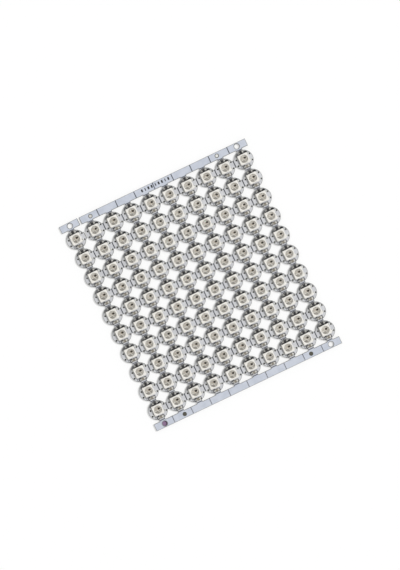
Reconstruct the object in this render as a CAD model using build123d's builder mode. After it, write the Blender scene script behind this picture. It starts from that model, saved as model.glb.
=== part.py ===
"""A factory panel of round addressable lamp modules, ten by ten, before it is broken apart.

Each module is a small round circuit board with one square lamp in the middle, a chip
capacitor below it and a chip resistor above it. The boards hang together by short tabs,
between two rails, in one sheet of laminate that is scored where it comes apart. The corner
module has been bent aside, so the score beside it stands open.

X runs along the rails, Y from rail to rail and Z up through the lamps. The origin is under
the middle of the panel, on the surface that it lies on. All sizes are in millimetres.
"""

import math
import os

from build123d import *

# Layout of the panel
columns = 10
rows = 10
column_pitch = 10.0
row_pitch = 10.2

# The sheet of laminate, with round boards that have this many sides
board_diameter = 9.6
board_sides = 20
board_thickness = 1.2
side_tab_width = 3.5
end_tab_width = 3.0
rail_width = 3.6
rail_gap = 0.7

# The scores that a wheel cuts from edge to edge between the columns
score_depth = 0.36
score_angle = 45.0

# Tooling holes near the ends of the rails
tooling_hole_diameter = 2.5
tooling_hole_inset = 5.1

# The corner module that has been snapped off its neighbour and bent aside
snap_gap = 0.3
snap_angle = 1.5

# The lamp in the middle of each board
lamp_size = 5.0
lamp_height = 1.6
lamp_offset_x = 0.1
lamp_offset_y = 0.2
window_diameter = 4.1
window_sides = 8
window_depth = 0.7

# The two chips on each board, set off from the lamp's lower and upper edges
chip_length = 2.0
chip_width = 1.25
capacitor_height = 0.85
capacitor_clearance = 0.65
resistor_height = 0.55
resistor_clearance = 0.45

# Places and sizes that follow from those above
board_radius = board_diameter / 2
array_length = (columns - 1) * column_pitch
array_height = (rows - 1) * row_pitch
panel_length = array_length + board_diameter
rail_edge = array_height / 2 + board_radius + rail_gap
rail_centre = rail_edge + rail_width / 2
panel_height = 2 * (rail_edge + rail_width)
left_column = -array_length / 2
top_row = array_height / 2
first_score = left_column + column_pitch / 2
score_half_width = score_depth * math.tan(math.radians(score_angle / 2))
capacitor_offset = lamp_size / 2 + capacitor_clearance + chip_width / 2
resistor_offset = lamp_size / 2 + resistor_clearance + chip_width / 2

# The corner module turns about the inner end of the tab that still holds it
pivot = Location((left_column + end_tab_width / 2, top_row - row_pitch / 2, 0))
bend = pivot * Location((0, 0, 0), (0, 0, snap_angle)) * pivot.inverse()

# The window that is routed out between four boards leaves their tabs standing
with BuildSketch() as routed_window:
    Rectangle(column_pitch - end_tab_width, row_pitch - side_tab_width)
    with GridLocations(column_pitch, row_pitch, 2, 2):
        RegularPolygon(board_radius, board_sides, mode=Mode.SUBTRACT)

# What is routed away outside an outer column
with BuildSketch() as routed_margin:
    with Locations((end_tab_width / 2, 0)):
        Rectangle(column_pitch, panel_height, align=(Align.MIN, Align.CENTER))
    with GridLocations(column_pitch, row_pitch, 1, rows):
        RegularPolygon(board_radius, board_sides, mode=Mode.SUBTRACT)

with BuildSketch() as sheet:
    Rectangle(panel_length + end_tab_width, 2 * rail_edge)
    with GridLocations(column_pitch, row_pitch, columns - 1, rows + 1):
        add(routed_window.sketch, mode=Mode.SUBTRACT)
    with PolarLocations(array_length / 2, 2):
        add(routed_margin.sketch, mode=Mode.SUBTRACT)
    with GridLocations(0, 2 * rail_centre, 1, 2):
        Rectangle(panel_length, rail_width)
    with GridLocations(panel_length - 2 * tooling_hole_inset, 2 * rail_centre, 2, 2):
        Circle(tooling_hole_diameter / 2, mode=Mode.SUBTRACT)

# The corner of the sheet that turns aside: its first module and that end of the rail
with BuildSketch() as corner:
    add(sheet.sketch)
    with Locations((first_score, pivot.position.Y)):
        Rectangle(
            2 * column_pitch,
            2 * row_pitch,
            align=(Align.MAX, Align.MIN),
            mode=Mode.INTERSECT,
        )

with BuildSketch() as snapped_sheet:
    add(sheet.sketch)
    with Locations((first_score + snap_gap, pivot.position.Y)):
        Rectangle(
            2 * column_pitch,
            2 * row_pitch,
            align=(Align.MAX, Align.MIN),
            mode=Mode.SUBTRACT,
        )
    add(bend * corner.sketch)

# The notches of the scores, seen from their ends
with BuildSketch(Plane.XZ.offset(-panel_height)) as score_notches:
    with Locations((0, board_thickness)):
        with GridLocations(column_pitch, 0, columns - 1, 1):
            Polygon(
                (-score_half_width, 0),
                (score_half_width, 0),
                (0, -score_depth),
                align=None,
            )

with BuildPart() as pcb_panel:
    extrude(snapped_sheet.sketch, amount=board_thickness)
    extrude(score_notches.sketch, amount=2 * panel_height, mode=Mode.SUBTRACT)
pcb_panel.part.label = "pcb_panel"


def lamp_places(row):
    """The middle of each lamp in a row, counted from the top row and the left column."""
    y = top_row - row * row_pitch + lamp_offset_y
    places = [
        Location((left_column + column * column_pitch + lamp_offset_x, y, 0))
        for column in range(columns)
    ]
    if row == 0:
        places[0] = bend * places[0]
    return places


def led_housings(row):
    """White moulded housings, each with the window that its light comes out of."""
    with BuildPart() as housings:
        with BuildSketch(Plane.XY.offset(board_thickness)):
            with Locations(*lamp_places(row)):
                Rectangle(lamp_size, lamp_size)
        extrude(amount=lamp_height)
        with BuildSketch(Plane.XY.offset(board_thickness + lamp_height)):
            with Locations(*lamp_places(row)):
                RegularPolygon(window_diameter / 2, window_sides)
        extrude(amount=-window_depth, mode=Mode.SUBTRACT)
    return housings.part


def chips(row, offset_y, height):
    """One ceramic chip on each board, set off from the middle of its lamp."""
    with BuildPart() as bodies:
        with BuildSketch(Plane.XY.offset(board_thickness)):
            with Locations(*lamp_places(row)):
                with Locations((0, offset_y)):
                    Rectangle(chip_length, chip_width)
        extrude(amount=height)
    return bodies.part


pieces = [pcb_panel.part]
for row in range(rows):
    housings = led_housings(row)
    housings.label = f"led_housings_row_{row + 1:02d}"
    capacitors = chips(row, -capacitor_offset, capacitor_height)
    capacitors.label = f"capacitors_row_{row + 1:02d}"
    resistors = chips(row, resistor_offset, resistor_height)
    resistors.label = f"resistors_row_{row + 1:02d}"
    pieces += [housings, capacitors, resistors]

os.makedirs("parts", exist_ok=True)
for piece in pieces:
    export_step(piece, f"parts/{piece.label}.step")
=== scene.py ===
"""A factory panel of a hundred round colour-lamp modules, finished for its picture.

The panel lies flat, lamps up, with X along its rails and Z up. Places and sizes come from the
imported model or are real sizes, written in millimetres as so many times mm.
"""

import math
import random

import bmesh
import bpy
from mathutils import Matrix, Vector


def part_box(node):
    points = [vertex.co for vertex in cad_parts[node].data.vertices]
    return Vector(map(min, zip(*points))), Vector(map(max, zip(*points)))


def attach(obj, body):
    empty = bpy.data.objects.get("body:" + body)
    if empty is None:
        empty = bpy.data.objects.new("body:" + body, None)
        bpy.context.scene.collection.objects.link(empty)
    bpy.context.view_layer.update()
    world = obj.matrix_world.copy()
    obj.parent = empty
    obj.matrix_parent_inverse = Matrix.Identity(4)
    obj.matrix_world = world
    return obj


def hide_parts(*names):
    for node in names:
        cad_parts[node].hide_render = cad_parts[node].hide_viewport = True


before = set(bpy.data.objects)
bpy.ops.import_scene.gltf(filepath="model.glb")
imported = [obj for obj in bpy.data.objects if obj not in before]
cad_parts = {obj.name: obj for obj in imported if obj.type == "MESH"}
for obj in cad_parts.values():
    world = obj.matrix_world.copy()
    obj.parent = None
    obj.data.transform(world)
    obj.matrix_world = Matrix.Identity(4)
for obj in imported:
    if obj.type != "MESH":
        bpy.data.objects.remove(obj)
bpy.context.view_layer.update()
random.seed(12)

# The laminate sheet
# One sheet of glass-fibre laminate with white solder mask on both faces. Its routed windows leave
# round boards that hang together by tabs between two rails, and wheel-cut V scores cross the tabs.
# The corner module has been snapped off its neighbour and bent aside about its lower tab.

mm = 0.001
tiny = 0.01 * mm

columns = 10
rows = 10
row_low, row_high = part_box("led_housings_row_02")
next_row_low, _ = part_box("led_housings_row_03")
panel_low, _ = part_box("pcb_panel")
lamp_size = row_high.y - row_low.y
column_pitch = (row_high.x - row_low.x - lamp_size) / (columns - 1)
row_pitch = row_low.y - next_row_low.y
board_face = row_low.z
lamp_face = row_high.z
lamp_offset = Vector((0.1, 0.2, 0)) * mm
first_lamp = Vector((row_low.x + lamp_size / 2, row_high.y - lamp_size / 2 + row_pitch, 0))
first_board = first_lamp - lamp_offset

board_radius = 4.8 * mm
board_facets = 100
side_tab_half = board_radius * math.sin(6 * math.tau / board_facets)
end_tab_half = board_radius * math.sin(5 * math.tau / board_facets)
rail_width = 3.6 * mm
rail_outer = -panel_low.y - first_board.y
rail_inner = rail_outer - rail_width
rail_middle = (rail_inner + rail_outer) / 2
rail_overhang = board_radius
score_depth = 0.36 * mm
score_half_width = 0.23 * mm
mask_margin = 0.18 * mm
mask_thickness = 0.02 * mm
tooling_hole_radius = 1.25 * mm
tooling_hole_facets = 48
tooling_hole_from_board = 0.3 * mm
hole_chamfer = 0.12 * mm
drill_length = 8 * mm
torn_fibres = 0.03 * mm
seam_tolerance = 0.002 * mm
snap_gap = 0.6 * mm
snap_angle = math.radians(1.5)

hinge = Matrix.Translation(first_board + Vector((end_tab_half, -row_pitch / 2, 0)))
bend = hinge @ Matrix.Rotation(snap_angle, 4, "Z") @ hinge.inverted()


def board_place(row, column):
    """The place of the middle of one board, from the top row and the left column."""
    place = Matrix.Translation(first_board + Vector((column * column_pitch, -row * row_pitch, 0)))
    return bend @ place if row == column == 0 else place


all_boards = [(row, column) for row in range(rows) for column in range(columns)]
board_places = [board_place(*place) for place in all_boards]


def deselect_all():
    bpy.ops.object.select_all(action="DESELECT")


def edit(piece):
    """Opens one piece, and nothing else, in edit mode."""
    deselect_all()
    piece.select_set(True)
    bpy.context.view_layer.objects.active = piece
    bpy.ops.object.mode_set(mode="EDIT")


def pick(piece, kind, wanted):
    """Selects the faces, edges or verts for which wanted(middle, element) holds."""
    bpy.ops.mesh.select_mode(type={"verts": "VERT", "edges": "EDGE", "faces": "FACE"}[kind])
    bpy.ops.mesh.select_all(action="DESELECT")
    mesh = bmesh.from_edit_mesh(piece.data)
    for element in getattr(mesh, kind):
        corners = [element.co] if kind == "verts" else [corner.co for corner in element.verts]
        if wanted(sum(corners, Vector()) / len(corners), element):
            element.select_set(True)
    mesh.select_flush_mode()
    bmesh.update_edit_mesh(piece.data)


def pick_all():
    bpy.ops.mesh.select_all(action="SELECT")


def close_edit():
    bpy.ops.object.mode_set(mode="OBJECT")


def split(point, normal, **settings):
    """Cuts the selected faces along a plane."""
    bpy.ops.mesh.bisect(plane_co=point, plane_no=normal, threshold=tiny / 10, **settings)


def facing(direction):
    """For pick, holds for the faces that look about that way."""
    return lambda middle, face: face.normal.dot(direction) > 0.9


def paint(piece, number):
    """Gives the selected faces the material of that number."""
    piece.active_material_index = number
    bpy.ops.object.material_slot_assign()


def modify(piece, kind, **settings):
    """Adds a modifier with these settings and applies it."""
    bpy.context.view_layer.objects.active = piece
    modifier = piece.modifiers.new(kind, kind)
    for name, value in settings.items():
        setattr(modifier, name, value)
    bpy.ops.object.modifier_apply(modifier=modifier.name)


def cut_away(piece, tool):
    """Cuts the tool's shape out of the piece and throws the tool away."""
    modify(piece, "BOOLEAN", operation="DIFFERENCE", object=tool, solver="EXACT")
    bpy.data.objects.remove(tool)


def set_out(master, name, places):
    """Copies a piece to each place, joins the copies, and throws the first one away."""
    deselect_all()
    for place in places:
        copy = master.copy()
        copy.data = master.data.copy()
        copy.data.transform(place)
        bpy.context.collection.objects.link(copy)
        copy.select_set(True)
    bpy.context.view_layer.objects.active = copy
    bpy.ops.object.join()
    bpy.data.objects.remove(master)
    copy.name = name
    return copy


def join(pieces, name):
    """Joins several pieces into the first of them."""
    deselect_all()
    for piece in pieces:
        piece.select_set(True)
    bpy.context.view_layer.objects.active = pieces[0]
    bpy.ops.object.join()
    pieces[0].name = name
    return pieces[0]


class Wire:
    """An output of a material's nodes. Sums on it are written as Python expressions."""

    def __init__(self, socket):
        self.socket = socket

    def node(self, kind, settings={}, inputs={}, output=0):
        """Adds a node: its settings first, and then the values or wires of its inputs."""
        tree = self.socket.id_data
        made = tree.nodes.new(kind)
        for name, value in settings.items():
            setattr(made, name, value)
        for name, value in inputs.items():
            if isinstance(value, Wire):
                tree.links.new(value.socket, made.inputs[name])
            else:
                made.inputs[name].default_value = value
        return Wire(made.outputs[output])

    def math(self, operation, *values):
        return self.node("ShaderNodeMath", {"operation": operation}, dict(enumerate(values)))

    def __add__(self, other):
        return self.math("ADD", self, other)

    def __mul__(self, other):
        return self.math("MULTIPLY", self, other)

    def fade(self, low, high, start=0.0, end=1.0):
        """Goes smoothly from start to end while this wire goes from low to high."""
        values = {"Value": self, "From Min": low, "From Max": high, "To Min": start, "To Max": end}
        return self.node("ShaderNodeMapRange", {"interpolation_type": "SMOOTHSTEP"}, values)

    def noise(self, scale, detail=2.0):
        """Cloudy noise, with about this many clouds to the millimetre."""
        values = {"Vector": self, "Scale": scale, "Detail": detail}
        return self.node("ShaderNodeTexNoise", {}, values)

    def mix(self, low, high):
        """The colour low where this wire is 0 and high where it is 1."""
        return self.node("ShaderNodeMix", {"data_type": "RGBA"}, {0: self, 6: low, 7: high}, 2)

    def into(self, surface, name):
        self.socket.id_data.links.new(self.socket, surface.inputs[name])

    def cloud(self, surface, low, high):
        """Colours a surface from low to high by this wire of noise."""
        self.fade(0.3, 0.7).mix(low, high).into(surface, "Base Color")


def shade(red, green, blue):
    """A colour as a screen shows it, each part up to 255, as the values that a material takes."""
    return [((part / 255 + 0.055) / 1.055) ** 2.4 for part in (red, green, blue)] + [1.0]


def new_finish(name, base, roughness, **constants):
    """A material, with its surface node and the wire of places on it in millimetres."""
    material = bpy.data.materials.new(name)
    material.use_nodes = True
    surface = material.node_tree.nodes["Principled BSDF"]
    surface.inputs["Base Color"].default_value = base
    surface.inputs["Roughness"].default_value = roughness
    for socket, value in constants.items():
        surface.inputs[socket.replace("_", " ")].default_value = value
    places = Wire(material.node_tree.nodes.new("ShaderNodeTexCoord").outputs["Object"])
    in_mm = places.node("ShaderNodeMapping", {}, {"Vector": places, "Scale": (1 / mm,) * 3})
    return material, surface, in_mm


def roughen(height, surface, depth):
    """Bumps a surface by a wire of heights, each unit of it as deep as given."""
    height.node("ShaderNodeBump", {}, {"Height": height, "Distance": depth}).into(surface, "Normal")


def height_on_board(in_mm):
    """A wire of how far each place is up from the middle of its board, in millimetres."""
    on_board = in_mm.node("ShaderNodeUVMap", {"uv_map": "on_board"})
    return on_board.node("ShaderNodeSeparateXYZ", {}, {"Vector": on_board}, 1)


def on_rail(height):
    """A wire that is 1 on the rails and 0 on the boards."""
    return height.math("ABSOLUTE", height).fade(5.2, 5.4)


def white_mask():
    """Satin white solder mask, bluer on the rails, with painted shade greying it above each lamp.
    """
    material, surface, in_mm = new_finish("white_mask", shade(206, 208, 212), 0.42)
    clouds = in_mm.noise(0.35, 4.0).fade(0.3, 0.7)
    height = height_on_board(in_mm)
    plain_white = clouds.mix(shade(190, 191, 195), shade(202, 203, 206))
    # Painted shade: a greyer white from the lamp's middle up to near the board's upper rim.
    shaded_white = clouds.mix(shade(160, 161, 163), shade(174, 175, 176))
    shade_above_lamp = height.fade(0.6, 2.8) * height.fade(4.2, 4.8, 1.0, 0.0)
    board_white = shade_above_lamp.mix(plain_white, shaded_white)
    rail_white = clouds.mix(shade(187, 193, 205), shade(199, 204, 215))
    on_rail(height).mix(board_white, rail_white).into(surface, "Base Color")
    in_mm.noise(2.2, 3.0).fade(0.2, 0.8, 0.36, 0.5).into(surface, "Roughness")
    roughen(in_mm.noise(5.0, 3.0), surface, 0.01 * mm)
    return material


def bare_laminate(name, dark, light):
    """Cut glass-fibre laminate, dull, with the ends of its fibres showing."""
    material, surface, in_mm = new_finish(name, light, 0.75)
    fibres = in_mm.noise(14.0, 4.0)
    fibres.fade(0.35, 0.65).mix(dark, light).into(surface, "Base Color")
    roughen(fibres, surface, 0.04 * mm)
    return material


def shaded_score_laminate():
    """Cut laminate greyed with painted shade in the scores, least on the end tabs and the lower
    rail.
    """
    material, surface, in_mm = new_finish("shaded_score_laminate", shade(86, 90, 98), 0.75)
    fibres = in_mm.noise(14.0, 4.0).fade(0.35, 0.65)
    # Painted shade: these greys stand for the shade in the V scores, darkest on the side tabs.
    side_grey = fibres.mix(shade(70, 74, 82), shade(100, 104, 112))
    end_grey = fibres.mix(shade(98, 101, 110), shade(134, 137, 146))
    lower_grey = fibres.mix(shade(150, 152, 160), shade(174, 176, 184))
    height = height_on_board(in_mm)
    upper_grey = height.math("ABSOLUTE", height).fade(4.0, 4.6).mix(side_grey, end_grey)
    panel_height = in_mm.node("ShaderNodeSeparateXYZ", {}, {"Vector": in_mm}, 1)
    panel_height.fade(-52.0, -51.0).mix(lower_grey, upper_grey).into(surface, "Base Color")
    roughen(fibres, surface, 0.02 * mm)
    return material


laminate_finishes = [
    bare_laminate("routed_laminate", shade(106, 106, 103), shade(138, 138, 134)),
    white_mask(),
    shaded_score_laminate(),
]
mask_number, score_shade_number = 1, 2

right, left = Vector((1, 0, 0)), Vector((-1, 0, 0))
upward, downward = Vector((0, 1, 0)), Vector((0, -1, 0))
towards_lamps = Vector((0, 0, 1))


def end_faces(direction, reach):
    """For pick, holds for the faces of a plate's end."""
    return lambda middle, face: (
        middle.dot(direction) > reach - tiny and face.normal.dot(direction) > 0.9
    )


def scored_plate(plate, ends, hole=None):
    """Makes a flat outline, open in edit mode, a masked plate with a score at each of its ends.

    An end is its direction, its reach that way, and whether it is still joined there.
    """
    for finish in laminate_finishes:
        plate.data.materials.append(finish)
    pick_all()
    bpy.ops.mesh.dissolve_limited(angle_limit=math.radians(1))
    pick_all()
    bpy.ops.mesh.extrude_region_move(TRANSFORM_OT_translate={"value": (0, 0, board_face)})
    pick_all()
    bpy.ops.mesh.normals_make_consistent(inside=False)
    if hole:
        close_edit()
        bpy.ops.mesh.primitive_cylinder_add(
            vertices=tooling_hole_facets,
            radius=tooling_hole_radius,
            depth=drill_length,
            location=hole,
        )
        cut_away(plate, bpy.context.object)
        edit(plate)
    half_thickness = board_face / 2
    for direction, reach, _ in ends:
        for level in (score_depth, board_face - score_depth):
            pick(plate, "faces", end_faces(direction, reach))
            split((0, 0, level), towards_lamps)
        pick(plate, "verts", lambda middle, vert: middle.dot(direction) > reach - tiny
             and abs(middle.z - half_thickness) > half_thickness - tiny)
        bpy.ops.transform.translate(value=-direction * score_half_width)
    if hole:
        axis, rim = Vector(hole).xy, tooling_hole_radius + tiny
        pick(plate, "edges", lambda middle, edge: (middle.xy - axis).length < rim
             and abs((edge.verts[0].co - edge.verts[1].co).z) < tiny)
        bpy.ops.mesh.bevel(offset=hole_chamfer)
        # The chamfer takes the same painted shade, a dark ring round the tooling hole.
        paint(plate, score_shade_number)
    for outward in (towards_lamps, -towards_lamps):
        pick(plate, "faces", facing(outward))
        bpy.ops.mesh.inset(thickness=mask_margin, depth=mask_thickness)
        paint(plate, mask_number)
    for direction, reach, _ in ends:
        mask_end = reach - score_half_width - mask_margin
        pick(plate, "verts", lambda middle, vert: middle.dot(direction) > mask_end - tiny
             and abs(middle.z - half_thickness) > half_thickness + tiny)
        bpy.ops.transform.translate(value=direction * (mask_margin - tiny))
    for direction, reach, joined in ends:
        score_start = reach - score_half_width
        # Joined ends keep their scores, greyed with painted shade.
        if joined:
            pick(plate, "faces", lambda middle, face: middle.dot(direction) > score_start
                 and 0.1 < abs(face.normal.z) < 0.9)
            paint(plate, score_shade_number)
        pick(plate, "faces", end_faces(direction, reach))
        if joined:
            bpy.ops.mesh.delete(type="ONLY_FACE")
        else:
            bpy.ops.mesh.subdivide(number_cuts=3)
            bpy.ops.transform.vertex_random(offset=torn_fibres, seed=4)
    close_edit()
    on_board = plate.data.uv_layers.active
    on_board.name = "on_board"
    for loop, place in zip(plate.data.loops, on_board.data):
        place.uv = (plate.data.vertices[loop.vertex_index].co / mm).xy
    return plate


def add_disc(middle, radius, sides):
    """A flat disc, left open in edit mode."""
    deselect_all()
    bpy.ops.mesh.primitive_circle_add(
        vertices=sides, radius=radius, fill_type="NGON", location=middle
    )
    disc = bpy.context.object
    bpy.ops.object.transform_apply(location=True)
    bpy.ops.object.mode_set(mode="EDIT")
    return disc


def round_board(tabs):
    """A round board with tabs, each given as direction, half width, reach and joined or not."""
    board = add_disc((0, 0, 0), board_radius, board_facets)
    for direction, half_width, reach, joined in tabs:
        pick(board, "edges", lambda middle, edge: edge.is_boundary and middle.dot(direction) > 0
             and middle.cross(direction).length < half_width)
        bpy.ops.mesh.extrude_edges_move()
        bpy.ops.transform.resize(
            value=[1 - abs(part) for part in direction],
            center_override=direction * reach,
        )
    return scored_plate(board, [(direction, reach, joined) for direction, _, reach, joined in tabs])


def board_at(row, column):
    """The board for one place of the panel, with the tabs that it has there."""
    tabs = []
    if column < columns - 1:
        tabs.append((right, side_tab_half, column_pitch / 2, (row, column) != (0, 0)))
    if column > 0:
        snapped = (row, column) == (0, 1)
        reach = column_pitch / 2 - (snap_gap if snapped else 0)
        tabs.append((left, side_tab_half, reach, not snapped))
    tabs.append((upward, end_tab_half, row_pitch / 2, (row, column) != (1, 0)))
    tabs.append((downward, end_tab_half, row_pitch / 2, (row, column) != (0, 0)))
    return round_board(tabs)


def rail_section(low_x, high_x, low_joined, high_joined, hole=None):
    """One module's length of the upper rail with its tab, set off from the board below it."""
    deselect_all()
    middle = Vector(((low_x + high_x) / 2, rail_middle, 0))
    bpy.ops.mesh.primitive_plane_add(size=rail_width)
    rail = bpy.context.object
    bpy.ops.object.mode_set(mode="EDIT")
    bpy.ops.transform.resize(value=((high_x - low_x) / rail_width, 1, 1))
    bpy.ops.transform.translate(value=middle)
    for edge_x in (-end_tab_half, end_tab_half):
        pick_all()
        split((edge_x, 0, 0), right)
    pick(rail, "edges", lambda middle, edge: middle.y < rail_inner + tiny
         and abs(middle.x) < end_tab_half)
    bpy.ops.mesh.extrude_edges_move(
        TRANSFORM_OT_translate={"value": (0, row_pitch / 2 - rail_inner, 0)}
    )
    ends = [(downward, -row_pitch / 2, True)]
    if low_joined is not None:
        ends.append((left, -low_x, low_joined))
    if high_joined is not None:
        ends.append((right, high_x, high_joined))
    return scored_plate(rail, ends, hole)


sheet_parts = []
plain = [place for place in all_boards if 0 < place[1] < columns - 1 and place != (0, 1)]
sheet_parts.append(set_out(board_at(5, 5), "boards", [board_place(*place) for place in plain]))
right_edge = [board_place(row, columns - 1) for row in range(rows)]
sheet_parts.append(set_out(board_at(5, columns - 1), "boards", right_edge))
left_edge = [board_place(row, 0) for row in range(2, rows)]
sheet_parts.append(set_out(board_at(5, 0), "boards", left_edge))
for place in ((0, 0), (1, 0), (0, 1)):
    sheet_parts.append(set_out(board_at(*place), "boards", [board_place(*place)]))

half = column_pitch / 2
half_turn = Matrix.Rotation(math.pi, 4, "Z")
inner_rail = rail_section(-half, half, True, True)
inner_places = [board_place(0, column) for column in range(2, columns - 1)]
inner_places += [half_turn @ board_place(0, column) for column in range(1, columns - 1)]
sheet_parts.append(set_out(inner_rail, "rails", inner_places))
right_hole = (-tooling_hole_from_board, rail_middle, 0)
left_hole = (tooling_hole_from_board, rail_middle, 0)
end_rail = rail_section(-half, rail_overhang, True, None, right_hole)
end_places = [board_place(0, columns - 1), half_turn @ board_place(0, columns - 1)]
sheet_parts.append(set_out(end_rail, "rails", end_places))
start_rail = rail_section(-rail_overhang, half, None, True, left_hole)
unbent_corner = Matrix.Translation(first_board)
sheet_parts.append(set_out(start_rail, "rails", [half_turn @ unbent_corner]))
corner_rail = rail_section(-rail_overhang, half, None, False, left_hole)
sheet_parts.append(set_out(corner_rail, "rails", [board_place(0, 0)]))
snapped_rail = rail_section(-half + snap_gap, half, False, True)
sheet_parts.append(set_out(snapped_rail, "rails", [board_place(0, 1)]))

board_sheet = join(sheet_parts, "board_sheet")
edit(board_sheet)
pick_all()
bpy.ops.mesh.remove_doubles(threshold=seam_tolerance)
close_edit()
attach(board_sheet, "root")
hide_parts("pcb_panel")

# The printed marks
# Thin black epoxy ink, screened on the mask after it has cured: an arch over one chip, a frame
# round the other, a ring and plain bars on every board, and nine plain bars on the upper rail.

ink_thickness = 0.015 * mm
ink_face = board_face + mask_thickness
frame_line = 0.36 * mm
frame_corner = 0.4 * mm
bar_corner = 0.05 * mm
ring_facets, arch_facets = 12, 32


def black_ink():
    """Matt black ink, a little thin and grey where the screen gave less of it."""
    base = shade(30, 30, 31)
    material, surface, in_mm = new_finish("black_ink", base, 0.7, Specular_IOR_Level=0.25)
    grain = in_mm.noise(6.0, 3.0)
    grain.fade(0.4, 0.8).mix(shade(22, 22, 23), shade(48, 48, 49)).into(surface, "Base Color")
    roughen(grain, surface, 0.01 * mm)
    return material


def add_plane(middle, length, width):
    """A flat rectangle, left open in edit mode."""
    deselect_all()
    bpy.ops.mesh.primitive_plane_add(size=length, location=middle)
    plane = bpy.context.object
    bpy.ops.object.transform_apply(location=True)
    bpy.ops.object.mode_set(mode="EDIT")
    bpy.ops.transform.resize(value=(1, width / length, 1), center_override=middle)
    return plane


def thicken(piece, height):
    """Raises a flat piece, open in edit mode, to its height and closes edit mode."""
    pick_all()
    bpy.ops.mesh.extrude_region_move(TRANSFORM_OT_translate={"value": (0, 0, height)})
    pick_all()
    bpy.ops.mesh.normals_make_consistent(inside=False)
    close_edit()
    return piece


def printed_bar(x, y, length, width, coats=1.0):
    """A plain bar of ink about a place on the board, in millimetres, thicker where marks cross."""
    bar = add_plane(Vector((x * mm, y * mm, ink_face)), length * mm, width * mm)
    bpy.ops.mesh.bevel(offset=bar_corner, affect="VERTICES")
    return thicken(bar, coats * ink_thickness)


def printed_frame(x, y, length, width):
    """A frame of ink about a place on the board, in millimetres."""
    frame_of_ink = add_plane(Vector((x * mm, y * mm, ink_face)), length * mm, width * mm)
    pick_all()
    bpy.ops.mesh.bevel(offset=frame_corner, affect="VERTICES", segments=2)
    bpy.ops.mesh.inset(thickness=frame_line)
    bpy.ops.mesh.delete(type="FACE")
    return thicken(frame_of_ink, ink_thickness)


def flat_ring(x, y, radius, line, facets):
    """A flat ring about a place on the board, in millimetres, left open in edit mode."""
    ring = add_disc((x * mm, y * mm, ink_face), radius * mm, facets)
    bpy.ops.mesh.inset(thickness=line * mm)
    bpy.ops.mesh.delete(type="FACE")
    return ring


def printed_ring(x, y, radius, line, coats):
    """A ring of ink about a place on the board, in millimetres, thicker where marks cross."""
    return thicken(flat_ring(x, y, radius, line, ring_facets), coats * ink_thickness)


def printed_arch(x, y, radius, line):
    """The part of a ring of ink that shows above the lamp, in millimetres."""
    arch = flat_ring(x, y, radius, line, arch_facets)
    pick_all()
    split((0, lamp_offset.y + lamp_size / 2, 0), upward, clear_inner=True)
    return thicken(arch, ink_thickness)


board_marks = [
    printed_arch(0.1, 2.8, 2.0, 0.32),
    printed_bar(0.75, 2.93, 4.7, 0.6, 1.3),
    printed_bar(2.2, 3.24, 1.32, 0.8, 1.6),
    printed_frame(-0.02, -3.58, 3.84, 1.54),
    printed_bar(-2.0, -2.66, 1.9, 0.22, 1.3),
    printed_bar(-0.9, -2.72, 0.9, 0.36, 1.6),
    printed_ring(-2.24, -3.42, 0.51, 0.18, 1.3),
    printed_bar(-2.6, 2.85, 1.2, 0.3),
    printed_bar(-2.45, 3.25, 1.1, 0.3),
    printed_bar(-2.2, 3.65, 0.8, 0.3),
    printed_bar(-1.84, 3.99, 0.4, 0.26),
]
bar_count, bars_before_score = 9, 4
first_bar_x, bar_pitch, step_past_score = -1.1, 1.72, 0.35
bar_y, bar_width = rail_middle / mm + 0.25, 1.4
short_bar, long_bar = 0.45, 0.8
rail_bars = []
for number in range(bar_count):
    bar_x = first_bar_x + bar_pitch * number
    if number >= bars_before_score:
        bar_x += step_past_score
    bar_length = short_bar if number % 3 == 1 else long_bar
    rail_bars.append(printed_bar(bar_x, bar_y, bar_length, bar_width))
ink = black_ink()
for mark in board_marks + rail_bars:
    mark.data.materials.append(ink)
marks_on_boards = set_out(join(board_marks, "marks"), "marks", board_places)
marks_on_rail = set_out(join(rail_bars, "bars"), "bars", [board_place(0, 4)])
printed_marks = join([marks_on_boards, marks_on_rail], "printed_marks")
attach(printed_marks, "root")

# The solder joints
# Tinned copper pads in openings of the mask, two for each chip and one for each lead of a lamp,
# with a fillet of reflowed solder that climbs from the outer end of each pad up the metal.

pad_thickness = 0.03 * mm
pad_margin = 0.1
pad_corner = 0.1 * mm
fillet_reach, fillet_profile = 0.92, 0.12
fillet_edge = 0.08 * mm


def tin(name, base, rough):
    """Tin, dulled in faint clouds."""
    material, surface, in_mm = new_finish(name, base, rough, Metallic=1.0)
    clouds = in_mm.noise(2.5, 3.0)
    bright = [min(1.0, part * 1.25) for part in base[:3]] + [1.0]
    clouds.cloud(surface, base, bright)
    clouds.fade(0.3, 0.7, rough - 0.08, rough + 0.08).into(surface, "Roughness")
    roughen(in_mm.noise(9.0, 2.0), surface, 0.01 * mm)
    return material


solder_tin = tin("solder_tin", shade(172, 171, 168), 0.65)
lead_solder = tin("lead_solder", shade(168, 168, 166), 0.5)


def add_block(middle, length, width, height):
    """A block that stands on a place, left open in edit mode."""
    deselect_all()
    bpy.ops.mesh.primitive_cube_add(size=length, location=middle + Vector((0, 0, length / 2)))
    block = bpy.context.object
    bpy.ops.object.transform_apply(location=True)
    bpy.ops.object.mode_set(mode="EDIT")
    bpy.ops.transform.resize(value=(1, width / length, height / length), center_override=middle)
    return block


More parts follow.
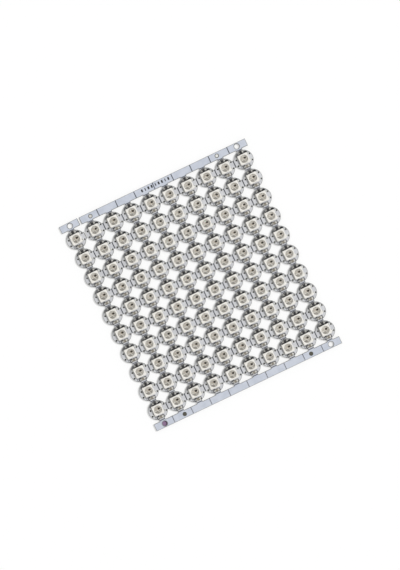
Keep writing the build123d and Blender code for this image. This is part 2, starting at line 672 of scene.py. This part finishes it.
def solder_joint(x, length, width, height):
    """A pad and its fillet, from the metal at x out along X, all in millimetres."""
    foot = Vector(((x + length / 2) * mm, 0, board_face))
    pad_length, pad_width = (length + pad_margin) * mm, (width + pad_margin) * mm
    pad = add_block(foot, pad_length, pad_width, pad_thickness)
    pick(pad, "edges", lambda middle, edge: abs((edge.verts[0].co - edge.verts[1].co).z) > tiny)
    bpy.ops.mesh.bevel(offset=pad_corner, segments=2)
    close_edit()
    fillet = add_block(foot, length * mm, width * mm, height * mm)
    top, side = board_face + height * mm - tiny, width / 2 * mm - tiny
    reach = fillet_reach * min(length, height) * mm
    pick(fillet, "edges", lambda middle, edge: middle.z > top and middle.x > foot.x + tiny)
    bpy.ops.mesh.bevel(offset=reach, segments=4, profile=fillet_profile)
    pick(fillet, "edges", lambda middle, edge: middle.z > board_face + tiny
         and abs(middle.y) > side
         and abs((edge.verts[0].co - edge.verts[1].co).y) < tiny)
    bpy.ops.mesh.bevel(offset=fillet_edge, segments=1)
    close_edit()
    return join([pad, fillet], "joint")


def jitter(shift, turn):
    """A small seeded error of placing, as a machine makes it."""
    offset = Vector((random.uniform(-shift, shift), random.uniform(-shift, shift), 0))
    return Matrix.Translation(offset) @ Matrix.Rotation(random.uniform(-turn, turn), 4, "Z")


lead_pitch = 3.3 * mm
chip_length, chip_width = 2.0 * mm, 1.25 * mm
capacitor_low, capacitor_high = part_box("capacitors_row_02")
resistor_low, resistor_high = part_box("resistors_row_02")
second_row_y = first_board.y - row_pitch
capacitor_y = (capacitor_low.y + capacitor_high.y) / 2 - second_row_y
resistor_y = (resistor_low.y + resistor_high.y) / 2 - second_row_y
lamp_middle = Matrix.Translation(lamp_offset)
capacitor_middle = Matrix.Translation((lamp_offset.x, capacitor_y, 0))
resistor_middle = Matrix.Translation((lamp_offset.x, resistor_y, 0))
lamp_error = (0.04 * mm, math.radians(0.7))
chip_error = (0.05 * mm, math.radians(1.5))

lamp_places, capacitor_places, resistor_places = {}, {}, {}
for place in all_boards:
    board = board_place(*place)
    lamp_places[place] = board @ lamp_middle @ jitter(*lamp_error)
    capacitor_places[place] = board @ capacitor_middle @ jitter(*chip_error)
    resistor_places[place] = board @ resistor_middle @ jitter(*chip_error)


def at_ends(shift):
    """A place turned to each end along X, shifted along Y by each amount."""
    return [turn @ Matrix.Translation((0, y, 0)) for turn in (Matrix(), half_turn) for y in shift]


lead_joint = solder_joint(2.7, 0.6, 0.9, 0.34)
lead_joint.data.materials.append(lead_solder)
lead_joints = set_out(lead_joint, "joints", at_ends((-lead_pitch / 2, lead_pitch / 2)))
chip_joint = solder_joint(chip_length / 2 / mm - 0.02, 0.42, 0.98, 0.42)
chip_joint.data.materials.append(solder_tin)
chip_joints = set_out(chip_joint, "joints", at_ends((0,)))
both_chips = list(capacitor_places.values()) + list(resistor_places.values())
solder_joints = join(
    [
        set_out(lead_joints, "joints", lamp_places.values()),
        set_out(chip_joints, "joints", both_chips),
    ],
    "solder_joints",
)
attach(solder_joints, "root")

# The plated holes and aiming marks
# Holes through each board, two on each side of its lamp, plated with copper and plugged with dark
# resin. Round marks in openings of the mask on the rails, tinned above and bare below, for the
# cameras of the machines.

hole_radius = 0.52 * mm
hole_collar = 0.05 * mm
hole_facets = 12
plug_sink = 0.01 * mm
spot_edge = 0.02 * mm
core_number = 1
hole_spots = [(3.78, 1.58), (3.72, -1.7), (-3.42, 1.15), (-3.66, -1.8)]


def plug_resin():
    """Dark, matt plugging resin, a little olive."""
    base = shade(36, 36, 33)
    material, surface, in_mm = new_finish("plug_resin", base, 0.7, Specular_IOR_Level=0.25)
    in_mm.noise(4.0, 3.0).cloud(surface, shade(28, 28, 26), shade(50, 50, 46))
    return material


def flat_spot(x, y, radius, collar, facets, depth, finishes):
    """A disc in a collar about a place in millimetres, with the collar's finish and its own."""
    spot = add_disc((x * mm, y * mm, board_face), radius, facets)
    thicken(spot, ink_face + ink_thickness - board_face)
    for finish in finishes:
        spot.data.materials.append(finish)
    edit(spot)
    pick(spot, "faces", facing(towards_lamps))
    bpy.ops.mesh.inset(thickness=collar)
    bpy.ops.mesh.inset(thickness=spot_edge, depth=depth)
    pick(spot, "faces", lambda middle, face: face.normal.z > 0.9 and len(face.verts) == facets)
    paint(spot, core_number)
    close_edit()
    return spot


hole_finishes = (lead_solder, plug_resin())
holes = [
    flat_spot(x, y, hole_radius, hole_collar, hole_facets, -plug_sink, hole_finishes)
    for x, y in hole_spots
]
plated_holes = set_out(join(holes, "holes"), "plated_holes", board_places)

mark_radius = 1.05 * mm
mark_collar = 0.3 * mm
mark_facets = 32
mark_rise = 0.005 * mm
mark_x = 34.0
mark_y = -(panel_low.y + rail_width / 2) / mm
mark_core = bare_laminate("mark_core", shade(58, 57, 48), shade(84, 82, 72))
aiming_spots = []
for x, y, finish in (
    (mark_x, mark_y, lead_solder),
    (-mark_x, mark_y, solder_tin),
    (mark_x, -mark_y, mark_core),
    (-mark_x, -mark_y, mark_core),
):
    mark_finishes = (mark_core, finish)
    aiming_spots.append(
        flat_spot(x, y, mark_radius, mark_collar, mark_facets, mark_rise, mark_finishes)
    )
aiming_marks = join(aiming_spots, "aiming_marks")
for piece in (plated_holes, aiming_marks):
    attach(piece, "root")

# The pads on the underside
# Six broad pads of tinned copper on each board, three on each side, for the wires that are soldered
# to a module when it is used.

under_face = -mask_thickness
wire_pad_length, wire_pad_width = 1.7 * mm, 1.35 * mm
wire_pad_x = 2.95 * mm
wire_pad_pitch = 1.95 * mm
inner_round, outer_round = 0.6 * mm, 0.2 * mm
pad_drop = 0.03 * mm
pad_rim, pad_swell = 0.1 * mm, 0.01 * mm

wire_pad_place = Vector((wire_pad_x, 0, under_face - pad_drop))
wire_pad = add_plane(wire_pad_place, wire_pad_length, wire_pad_width)
pick(wire_pad, "verts", lambda middle, vert: middle.x < wire_pad_x)
bpy.ops.mesh.bevel(offset=inner_round, affect="VERTICES", segments=3)
pick(wire_pad, "verts", lambda middle, vert: middle.x > wire_pad_x + wire_pad_length / 2 - tiny)
bpy.ops.mesh.bevel(offset=outer_round, affect="VERTICES", segments=2)
thicken(wire_pad, pad_drop + mask_thickness + tiny)
edit(wire_pad)
pick(wire_pad, "faces", facing(-towards_lamps))
bpy.ops.mesh.inset(thickness=pad_rim, depth=pad_swell)
close_edit()
wire_pad.data.materials.append(tin("pad_tin", shade(196, 195, 190), 0.35))
six_pads = set_out(wire_pad, "pads", at_ends((-wire_pad_pitch, 0, wire_pad_pitch)))
wire_pads = set_out(six_pads, "wire_pads", board_places)
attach(wire_pads, "root")

# The sticker
# A round mauve paper sticker that an inspector has put on the underside of the bottom rail, over
# the left tooling hole, so that it shows through.

sticker_radius = 1.7 * mm
sticker_facets = 48
sticker_thickness = 0.03 * mm
sticker_place = Vector((-44.7 * mm, -mark_y * mm, under_face - sticker_thickness))


def mauve_paper():
    """Matt mauve paper, with the faint mottle of its fibres."""
    material, surface, in_mm = new_finish("mauve_paper", shade(146, 118, 150), 0.85)
    fibres = in_mm.noise(5.0, 4.0)
    fibres.cloud(surface, shade(134, 106, 139), shade(160, 133, 164))
    roughen(fibres, surface, 0.01 * mm)
    return material


sticker = add_disc(sticker_place, sticker_radius, sticker_facets)
thicken(sticker, sticker_thickness - tiny / 10)
sticker.name = "sticker"
sticker.data.materials.append(mauve_paper())
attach(sticker, "root")

# The lamp housings
# Ivory resin moulded round a lead frame, square, with a round cup for the light. One top corner is
# cut to mark the first lead, and the sides draw in a little above and below the parting line.

lamp_height = lamp_face - board_face
cup_depth = 0.62 * mm
cup_top_radius = 2.03 * mm
cup_floor_radius = 1.87 * mm
cup_facets = 32
side_draw = 0.996
corner_cut = 0.45 * mm
edge_round = 0.045 * mm


def ivory_resin():
    """Satin ivory resin, slightly uneven."""
    material, surface, in_mm = new_finish("ivory_resin", shade(230, 227, 221), 0.5)
    in_mm.noise(0.8, 3.0).cloud(surface, shade(226, 223, 216), shade(235, 232, 226))
    roughen(in_mm.noise(8.0, 3.0), surface, 0.008 * mm)
    return material


def smooth(piece, degrees):
    """Shades a piece smooth where its faces turn by less than this."""
    deselect_all()
    piece.select_set(True)
    bpy.ops.object.shade_smooth_by_angle(angle=math.radians(degrees))


def by_row(master, name, places):
    """Sets a piece out row by row, and returns the ten rows."""
    made = []
    for row in range(rows):
        copy = master.copy()
        copy.data = master.data.copy()
        bpy.context.collection.objects.link(copy)
        row_places = [places[row, column] for column in range(columns)]
        made.append(set_out(copy, f"{name}_row_{row + 1:02d}_look", row_places))
    bpy.data.objects.remove(master)
    return made


housing = add_block(Vector((0, 0, board_face)), lamp_size, lamp_size, lamp_height)
pick_all()
parting = board_face + lamp_height / 2
split((0, 0, parting), towards_lamps)
pick(housing, "verts", lambda middle, vert: abs(middle.z - parting) > tiny)
bpy.ops.transform.resize(value=(side_draw, side_draw, 1), center_override=(0, 0, parting))
pick(housing, "verts", lambda middle, vert: middle.x < 0 and middle.y < 0
     and middle.z > parting + tiny)
bpy.ops.mesh.bevel(offset=corner_cut, affect="VERTICES")
close_edit()
overshoot = 0.1 * mm
cup_slope = (cup_top_radius - cup_floor_radius) / cup_depth
bpy.ops.mesh.primitive_cone_add(
    vertices=cup_facets,
    radius1=cup_floor_radius,
    radius2=cup_top_radius + cup_slope * overshoot,
    depth=cup_depth + overshoot,
    location=(0, 0, lamp_face - (cup_depth - overshoot) / 2),
)
cut_away(housing, bpy.context.object)
modify(
    housing,
    "BEVEL",
    width=edge_round,
    segments=2,
    limit_method="ANGLE",
    angle_limit=math.radians(35),
)
smooth(housing, 30)
housing.data.materials.append(ivory_resin())
for number, housings in enumerate(by_row(housing, "led_housings", lamp_places)):
    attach(housings, "root")
    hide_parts(f"led_housings_row_{number + 1:02d}")

# The leads
# Tin-plated copper strips of the lead frame, two on each side of a lamp, that leave the housing at
# its parting line and fold down and under it.

lead_width = 0.9 * mm
lead_thickness = 0.15 * mm
lead_start = 2.3 * mm
above_parting = 0.02 * mm
lead_steps = [(0.14, 0), (0.1, -0.08), (0.03, -0.12), (0, -0.3), (-0.04, -0.1), (-0.12, -0.06)]

lead_middle = Vector((lead_start, 0, parting + above_parting))
lead = add_plane(lead_middle, lead_width / 2, lead_width)
pick(lead, "edges", lambda middle, edge: middle.x > lead_start + lead_width / 4 - tiny)
for step_x, step_z in lead_steps:
    step = (step_x * mm, 0, step_z * mm)
    bpy.ops.mesh.extrude_edges_move(TRANSFORM_OT_translate={"value": step})
close_edit()
modify(lead, "SOLIDIFY", thickness=lead_thickness, offset=-1)
smooth(lead, 50)
lead.data.materials.append(tin("lead_tin", shade(150, 149, 145), 0.5))
four_leads = set_out(lead, "leads", at_ends((-lead_pitch / 2, lead_pitch / 2)))
led_leads = set_out(four_leads, "led_leads", lamp_places.values())
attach(led_leads, "root")

# The plates in the cups
# The silvered inner ends of the lead frame, on the floor of the cup: one large plate that carries
# the driver chip and two smaller ones, with ivory resin showing between them.

cup_floor = lamp_face - cup_depth
plate_joint = Vector((-0.05, -0.3, 0)) * mm
plate_gap = 0.15 * mm
plate_rise = 0.03 * mm
plate_radius = cup_floor_radius - 0.03 * mm
gap_bearings = [math.radians(183), math.radians(292), math.radians(364)]


def silver_plate(name, dark, light):
    """Silver plating, yellowed and dulled a little."""
    material, surface, in_mm = new_finish(name, light, 0.5, Metallic=0.5)
    in_mm.noise(1.6, 3.0).cloud(surface, dark, light)
    roughen(in_mm.noise(10.0, 2.0), surface, 0.004 * mm)
    return material


# One silvering in three tones: painted shade darkens the two lower plates, the lower-left one most.
plate_finishes = [
    silver_plate("shaded_lower_left_plate", shade(112, 109, 103), shade(140, 137, 130)),
    silver_plate("plain_plate", shade(130, 126, 119), shade(160, 156, 148)),
    silver_plate("large_plate", shade(144, 140, 132), shade(174, 170, 162)),
]
plates = []
for start, end in zip(gap_bearings, gap_bearings[1:] + [gap_bearings[0] + math.tau]):
    plate = add_disc((0, 0, cup_floor), plate_radius, cup_facets)
    for bearing, inward in ((start, 1), (end, -1)):
        along = Vector((math.cos(bearing), math.sin(bearing), 0))
        across = Vector((-along.y, along.x, 0)) * inward
        pick_all()
        split(plate_joint + across * plate_gap / 2, across, clear_inner=True)
    plate.data.materials.append(plate_finishes[len(plates)])
    plates.append(thicken(plate, plate_rise))

cup_plates = set_out(join(plates, "plates"), "cup_plates", lamp_places.values())
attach(cup_plates, "root")

# The driver chips
# Sawn silicon, nearly black, glued to the large plate of each lamp, with a lower rim round its
# edge for the bond wires.

plate_face = cup_floor + plate_rise
driver_middle = Vector((0.7, 0.38, 0)) * mm + Vector((0, 0, plate_face))
driver_length, driver_width, driver_height = 1.06 * mm, 0.92 * mm, 0.14 * mm
saw_edge, pad_row, circuit_rise = 0.04 * mm, 0.06 * mm, 0.01 * mm


def silicon():
    """Brown-black silicon, with the fine blocks of its circuit showing faintly."""
    base = shade(22, 18, 15)
    material, surface, in_mm = new_finish("silicon", base, 0.5, Specular_IOR_Level=0.15)
    settings, values = {"distance": "CHEBYCHEV"}, {"Vector": in_mm, "Scale": 9.0}
    blocks = in_mm.node("ShaderNodeTexVoronoi", settings, values)
    blocks.fade(0.0, 0.6).mix(shade(18, 15, 12), shade(34, 27, 20)).into(surface, "Base Color")
    return material


driver = add_block(driver_middle, driver_length, driver_width, driver_height)
pick(driver, "faces", facing(towards_lamps))
bpy.ops.mesh.inset(thickness=saw_edge)
bpy.ops.mesh.inset(thickness=pad_row, depth=circuit_rise)
close_edit()
driver.data.materials.append(silicon())
driver_chips = set_out(driver, "driver_chips", lamp_places.values())
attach(driver_chips, "root")

# The colour dies
# Three light-giving crystals in each lamp, for red, green and blue, each a clear-edged block with a
# raised contact on top.

die_size = 0.22 * mm
die_height = 0.1 * mm
contact_edge, contact_rise = 0.04 * mm, 0.01 * mm
red_spot, green_spot, blue_spot = (-0.52, 0.68), (-0.62, 0.18), (-0.12, 0.98)
die_kinds = [
    ("red_crystal", red_spot, shade(198, 170, 152)),
    ("green_crystal", green_spot, shade(182, 190, 174)),
    ("blue_crystal", blue_spot, shade(176, 184, 194)),
]


def crystal(name, base):
    """Clear-edged crystal of a light-giving die."""
    material, surface, in_mm = new_finish(name, base, 0.2, Coat_Weight=0.5)
    darker = [part * 0.8 for part in base[:3]] + [1.0]
    in_mm.noise(9.0).cloud(surface, darker, base)
    return material


dies = []
for name, (x, y), base in die_kinds:
    die = add_block(Vector((x * mm, y * mm, plate_face)), die_size, die_size, die_height)
    pick(die, "faces", facing(towards_lamps))
    bpy.ops.mesh.inset(thickness=contact_edge, depth=contact_rise)
    close_edit()
    die.data.materials.append(crystal(name, base))
    dies.append(die)
colour_dies = set_out(join(dies, "dies"), "colour_dies", lamp_places.values())
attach(colour_dies, "root")

# The bond wires
# Gold wire thinner than a hair, in low arches from the driver chip to the dies and plates, welded
# at both ends.

wire_radius = 0.013 * mm
wire_sides = 4
wire_steps = 6
arch_height = 0.55
driver_top = plate_face + driver_height
die_top = plate_face + die_height
wires_from_driver = [
    ((0.27, 0.72), blue_spot, die_top),
    ((0.27, 0.5), red_spot, die_top),
    ((0.27, 0.28), green_spot, die_top),
    ((0.48, 0.01), (0.62, -0.78), plate_face),
    ((0.88, 0.01), (1.14, -0.6), plate_face),
    ((0.27, 0.04), (-0.62, -0.76), plate_face),
    ((1.12, 0.74), (1.34, 1.04), plate_face),
]


def gold():
    material, surface, in_mm = new_finish("gold", shade(226, 180, 96), 0.25, Metallic=1.0)
    in_mm.noise(20.0).mix(shade(214, 166, 84), shade(236, 194, 112)).into(surface, "Base Color")
    return material


gold_finish = gold()
wires = []
for (start_x, start_y), (end_x, end_y), end_z in wires_from_driver:
    start = Vector((start_x * mm, start_y * mm, driver_top))
    end = Vector((end_x * mm, end_y * mm, end_z))
    middle, across = (start + end) / 2, (end - start).cross(towards_lamps).normalized()
    wire = add_disc(start, wire_radius, wire_sides)
    bpy.ops.mesh.spin(steps=wire_steps, angle=math.pi, center=middle, axis=across)
    pick_all()
    bpy.ops.transform.resize(value=(1, 1, arch_height), center_override=middle)
    bpy.ops.mesh.normals_make_consistent(inside=False)
    close_edit()
    wire.data.materials.append(gold_finish)
    wires.append(wire)
bond_wires = set_out(join(wires, "wires"), "bond_wires", lamp_places.values())
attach(bond_wires, "root")

# The clear filling
# Clear resin poured into each cup over the chips and wires and cured there, which sinks a little
# as it sets.

fill_gap = 0.01 * mm
fill_top, fill_bottom = lamp_face - 0.025 * mm, cup_floor + 0.005 * mm
fill_sink = 0.05 * mm
sunk_rings = (0.25 * mm, 0.5 * mm)


def clear_resin():
    """Nearly clear resin, faintly warm."""
    material, surface, in_mm = new_finish(
        "clear_resin", shade(196, 190, 178), 0.12, IOR=1.41, Specular_IOR_Level=0.25
    )
    in_mm.noise(0.7).fade(0.3, 0.7, 0.01, 0.03).into(surface, "Alpha")
    return material


deselect_all()
bpy.ops.mesh.primitive_cone_add(
    vertices=cup_facets,
    radius1=cup_floor_radius - fill_gap,
    radius2=cup_top_radius - 2 * fill_gap,
    depth=fill_top - fill_bottom,
    location=(0, 0, (fill_top + fill_bottom) / 2),
)
fill = bpy.context.object
bpy.ops.object.transform_apply(location=True)
bpy.ops.object.mode_set(mode="EDIT")
pick(fill, "faces", facing(towards_lamps))
for width in sunk_rings:
    bpy.ops.mesh.inset(thickness=width, depth=-fill_sink / 2)
close_edit()
smooth(fill, 40)
fill.data.materials.append(clear_resin())
clear_fill = set_out(fill, "clear_fill", lamp_places.values())
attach(clear_fill, "root")

# The capacitors
# Fired ceramic blocks, tan and rounded at every edge, with tinned caps over both ends that stand
# proud of the ceramic.

cap_rise = 0.02 * mm
cap_number = 1
capacitor_cap, capacitor_edge = 0.42 * mm, 0.09 * mm


def tan_ceramic():
    """Unglazed tan ceramic with a fine grain."""
    material, surface, in_mm = new_finish("tan_ceramic", shade(128, 122, 111), 0.6)
    in_mm.noise(3.0, 4.0).cloud(surface, shade(112, 106, 96), shade(142, 136, 124))
    roughen(in_mm.noise(12.0, 2.0), surface, 0.01 * mm)
    return material


def chip_block(height, cap_length, edge):
    """A ceramic block with raised end caps, left open in edit mode with its caps selected."""
    length, width = chip_length - 2 * cap_rise, chip_width - 2 * cap_rise
    block = add_block(Vector((0, 0, board_face)), length, width, height - cap_rise)
    pick_all()
    bpy.ops.mesh.bevel(offset=edge, segments=2)
    cap_edge = chip_length / 2 - cap_length
    for x in (-cap_edge, cap_edge):
        pick_all()
        split((x, 0, 0), right)
    pick(block, "faces", lambda middle, face: abs(middle.x) > cap_edge)
    bpy.ops.mesh.extrude_region_shrink_fatten(TRANSFORM_OT_shrink_fatten={"value": cap_rise})
    return block


capacitor_height = capacitor_high.z - board_face
capacitor = chip_block(capacitor_height, capacitor_cap, capacitor_edge)
for finish in (tan_ceramic(), tin("cap_tin", shade(166, 164, 159), 0.62)):
    capacitor.data.materials.append(finish)
paint(capacitor, cap_number)
close_edit()
smooth(capacitor, 50)
for number, capacitors in enumerate(by_row(capacitor, "capacitors", capacitor_places)):
    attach(capacitors, "root")
    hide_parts(f"capacitors_row_{number + 1:02d}")

# The resistors
# Flat white ceramic blocks with tinned ends, soldered down above each lamp, with a film of black
# glass fired on top between the ends.

film_rise = 0.02 * mm
film_number = 2
resistor_cap, resistor_edge = 0.36 * mm, 0.05 * mm


def white_ceramic():
    material, surface, in_mm = new_finish("white_ceramic", shade(224, 222, 216), 0.55)
    clouds = in_mm.noise(4.0, 3.0)
    clouds.mix(shade(214, 212, 206), shade(232, 230, 224)).into(surface, "Base Color")
    return material


def black_glass():
    """Black glass film, slightly uneven in gloss."""
    base = shade(26, 26, 27)
    material, surface, in_mm = new_finish("black_glass", base, 0.5, Specular_IOR_Level=0.3)
    in_mm.noise(3.0, 3.0).cloud(surface, shade(22, 22, 23), shade(36, 36, 38))
    in_mm.noise(5.0, 2.0).fade(0.3, 0.7, 0.45, 0.6).into(surface, "Roughness")
    return material


resistor_height = resistor_high.z - board_face
resistor_tin = tin("resistor_tin", shade(132, 131, 127), 0.6)
resistor = chip_block(resistor_height, resistor_cap, resistor_edge)
for finish in (white_ceramic(), resistor_tin, black_glass()):
    resistor.data.materials.append(finish)
paint(resistor, cap_number)
pick(resistor, "faces", lambda middle, face: face.normal.z > 0.9
     and abs(middle.x) < chip_length / 4 - tiny
     and middle.z < resistor_high.z - tiny)
bpy.ops.mesh.extrude_region_move(TRANSFORM_OT_translate={"value": (0, 0, film_rise)})
paint(resistor, film_number)
close_edit()
for number, resistors in enumerate(by_row(resistor, "resistors", resistor_places)):
    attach(resistors, "root")
    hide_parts(f"resistors_row_{number + 1:02d}")

# The floor, the lamp and the camera
# A plain white floor that shows only the panel's shadow, one soft lamp on the right, and a long
# lens straight above the panel, turned as it is in the picture.

floor_size = 4
shadow_hidden = 0.5
deselect_all()
bpy.ops.mesh.primitive_plane_add(
    size=floor_size, location=(0, 0, under_face - pad_drop - pad_swell)
)
floor = bpy.context.object
floor.name = "floor"


def seen_rays(paths):
    """A wire that is 1 for what the camera sees, also by way of other pieces."""
    camera_ray, glossy_ray, clear_ray = [
        Wire(paths.outputs[f"Is {kind} Ray"]) for kind in ("Camera", "Glossy", "Transmission")
    ]
    return camera_ray + glossy_ray + clear_ray


def white_floor():
    """White under the camera, with half of the shadow that falls on it."""
    material, surface, _ = new_finish("white_floor", shade(254, 254, 254), 0.9)
    nodes = material.node_tree.nodes
    seen = seen_rays(nodes.new("ShaderNodeLightPath"))
    light = seen.node("ShaderNodeEmission", {}, {"Strength": 1.0})
    painted = Wire(surface.outputs[0])
    both = seen.node("ShaderNodeMixShader", {}, {0: seen * shadow_hidden, 1: painted, 2: light})
    material.node_tree.links.new(both.socket, nodes["Material Output"].inputs["Surface"])
    return material


floor.data.materials.append(white_floor())

sky_strength = 0.44
world = bpy.data.worlds.new("studio")
bpy.context.scene.world = world
world.use_nodes = True
background = world.node_tree.nodes["Background"]
seen = seen_rays(world.node_tree.nodes.new("ShaderNodeLightPath"))
background.inputs["Color"].default_value = (1, 1, 1, 1)
(seen * (1 - sky_strength) + sky_strength).into(background, "Strength")

sun_bearing = math.radians(2)
sun_elevation = math.radians(61)
bpy.ops.object.light_add(type="SUN", rotation=(0, math.pi / 2 - sun_elevation, sun_bearing))
sun = bpy.context.object
sun.data.energy = 2.05
sun.data.angle = math.radians(5)

picture_width, picture_height = 400, 570
picture_scale = 2.0635 / mm
panel_middle = Vector((200.77, 284.89))
panel_turn = math.radians(25.5)
focus_height = 2.4 * mm
camera_turn = Matrix.Rotation(-panel_turn, 4, "Z")
aim = Vector((picture_width / 2 - panel_middle.x, panel_middle.y - picture_height / 2, 0))
bpy.ops.object.camera_add()
camera = bpy.context.object
camera.data.lens = 100
camera.data.sensor_width = 36
distance = picture_height / picture_scale * camera.data.lens / camera.data.sensor_width
camera.location = camera_turn @ (aim / picture_scale) + Vector((0, 0, focus_height + distance))
camera.rotation_euler = (0, 0, -panel_turn)
camera.data.clip_start = 10 * mm
bpy.context.scene.camera = camera

bpy.context.scene.view_settings.view_transform = "Standard"
bpy.context.view_layer.update()
